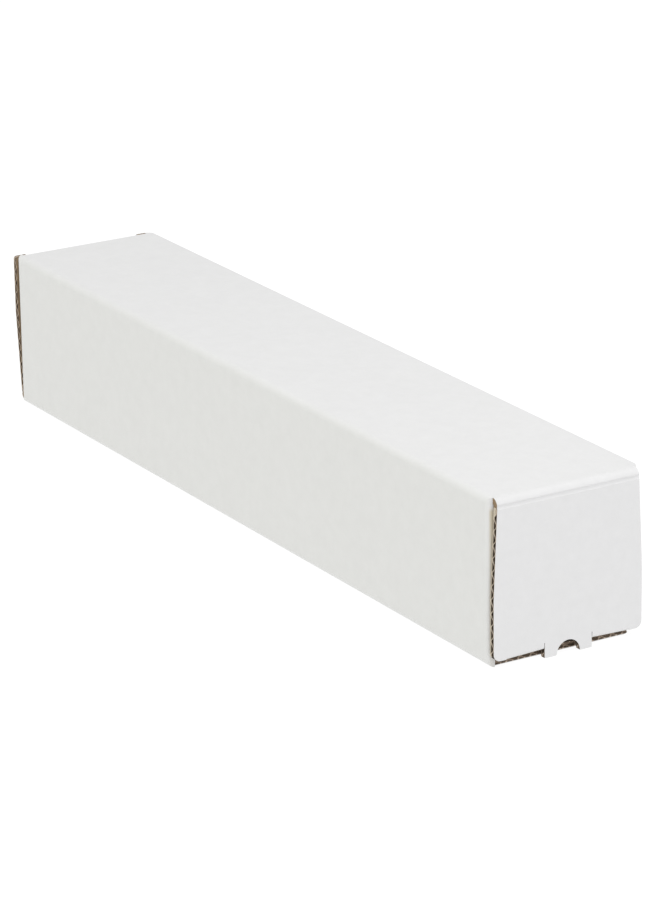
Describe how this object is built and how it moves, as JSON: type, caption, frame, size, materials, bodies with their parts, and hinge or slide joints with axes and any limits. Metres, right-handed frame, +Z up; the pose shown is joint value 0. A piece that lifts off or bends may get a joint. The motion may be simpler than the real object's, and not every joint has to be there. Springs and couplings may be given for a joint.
{
  "type": "square mailing tube",
  "caption": "Long square tube of white corrugated board for posting rolled papers, with a tuck-in flap at each end, a locking tab and a thumb notch.",
  "frame": {"origin": "middle of the underside, on the floor that the tube lies on", "axes": "+X along the tube towards the end whose flap hangs from the top wall, +Z up, +Y towards the wall that carries the glued lap"},
  "size_m": [0.4716, 0.0826, 0.0826],
  "materials": {
    "white_board": "matt white facing outside, brown facing inside and brown cut edges"
  },
  "bodies": {
    "tube": {"sleeve": "white_board"},
    "front_flap": {"front_end_flap": "white_board"},
    "back_flap": {"back_end_flap": "white_board"}
  },
  "joints": [
    {"name": "front_flap_hinge", "type": "hinge", "parent": "tube", "child": "front_flap", "pos_m": [0.2358, 0, 0.0786], "axis": [0, -1, 0], "range_deg": [0, 150]},
    {"name": "back_flap_hinge", "type": "hinge", "parent": "tube", "child": "back_flap", "pos_m": [-0.2358, 0, 0.004], "axis": [0, -1, 0], "range_deg": [0, 90]}
  ]
}
